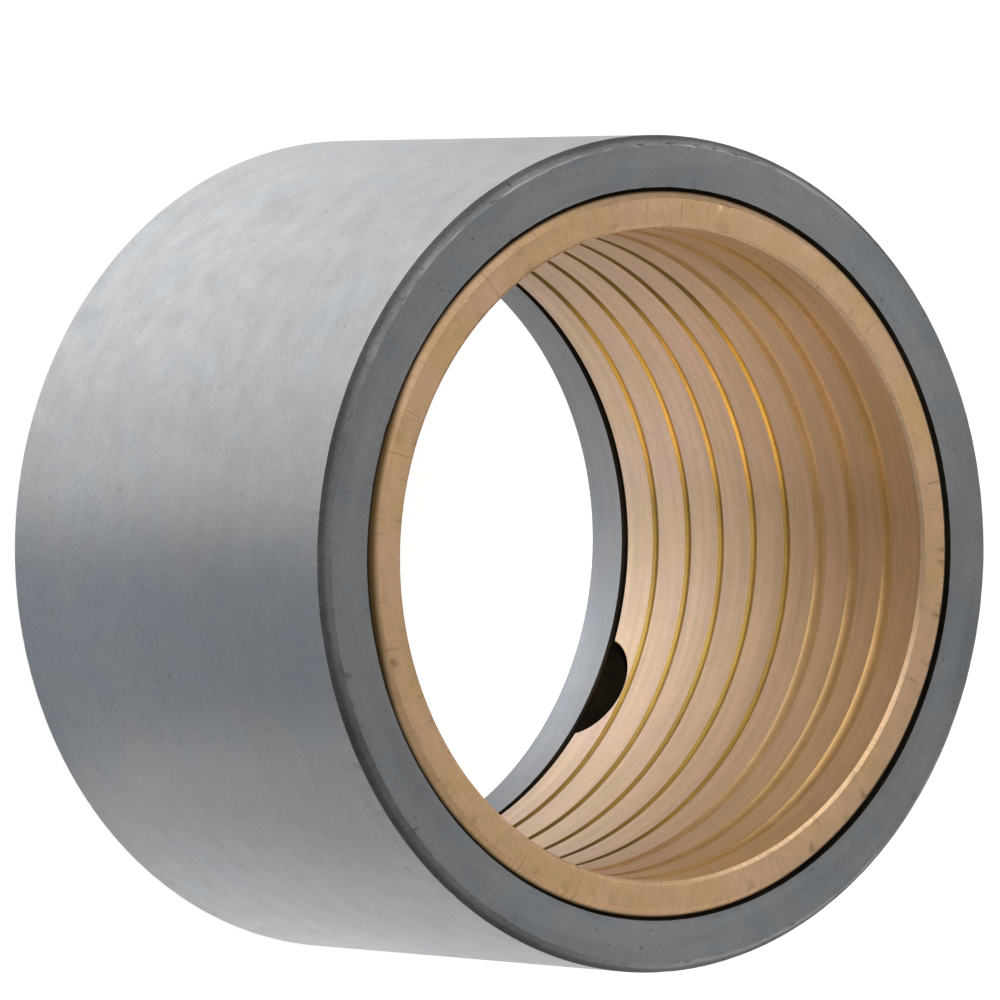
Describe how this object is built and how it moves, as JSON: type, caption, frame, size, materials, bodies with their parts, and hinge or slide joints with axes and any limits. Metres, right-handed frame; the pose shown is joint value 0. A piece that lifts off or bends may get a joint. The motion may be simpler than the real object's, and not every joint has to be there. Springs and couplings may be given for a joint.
{
  "type": "bushing",
  "caption": "Steel-backed bronze bushing for a greased pin: pressed-in liner with ring grooves in its bore, a grease notch, and a plain steel lip at one end.",
  "frame": {"origin": "centre of the shell's lower end face, on the bore axis", "axes": "+Z along the bore towards the end where the bronze shows; +X through the grease hole and the liner's notch"},
  "size_m": [0.09, 0.09, 0.0604],
  "materials": {
    "steel": "turned and dulled grey steel, fine marks along the outside",
    "bronze": "turned bearing bronze, satin, darker in the grooves"
  },
  "bodies": {
    "root": {"steel_shell": "steel", "bronze_liner": "bronze"}
  },
  "joints": []
}
